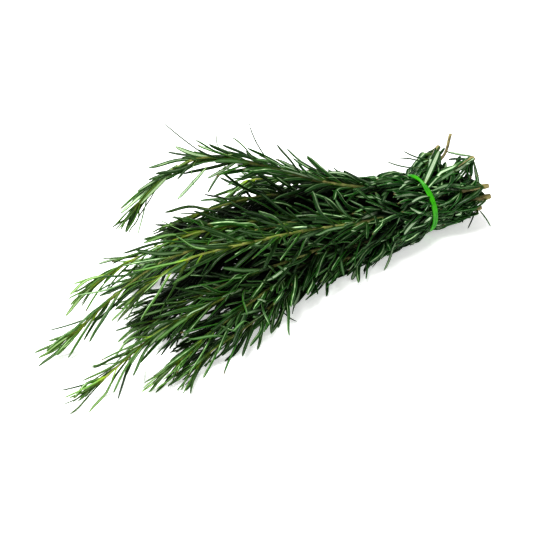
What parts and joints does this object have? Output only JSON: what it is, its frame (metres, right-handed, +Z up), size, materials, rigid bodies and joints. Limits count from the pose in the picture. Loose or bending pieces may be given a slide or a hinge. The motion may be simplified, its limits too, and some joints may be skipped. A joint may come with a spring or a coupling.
{
  "type": "rosemary bunch",
  "caption": "Bunch of fresh cut rosemary sprigs with needle leaves, tied near the cut ends by a rubber band and lying on its side.",
  "frame": {"origin": "middle of the bounding box at its base, on the surface that the bunch lies on", "axes": "+X along the bunch from the growing tips to the cut ends, +Z up from the surface, +Y to the far side"},
  "size_m": [0.2984, 0.1252, 0.1007],
  "materials": {
    "rosemary": "living plant: dark glossy green needle leaves with a pale sheen along the top and a grey-green felted underside, light green young stem turning to brown bark at the cut end",
    "band_rubber": "bright green natural rubber, smooth with a soft shine"
  },
  "bodies": {
    "root": {"sprig_01_top_arch": "rosemary", "sprig_02_upper_far": "rosemary", "sprig_03_far_stick": "rosemary", "sprig_04_far_side": "rosemary", "sprig_05_far_low": "rosemary", "sprig_06_under_far": "rosemary", "sprig_07_under_near": "rosemary", "sprig_08_near_low": "rosemary", "sprig_09_near_side": "rosemary", "sprig_10_near_front": "rosemary", "sprig_11_front_high": "rosemary", "sprig_12_middle_high": "rosemary", "sprig_13_middle_upper": "rosemary", "sprig_14_middle_far": "rosemary", "sprig_15_middle_core": "rosemary", "sprig_16_core_low": "rosemary", "sprig_17_long_near": "rosemary", "sprig_18_near_middle": "rosemary", "rubber_band": "band_rubber"}
  },
  "joints": []
}
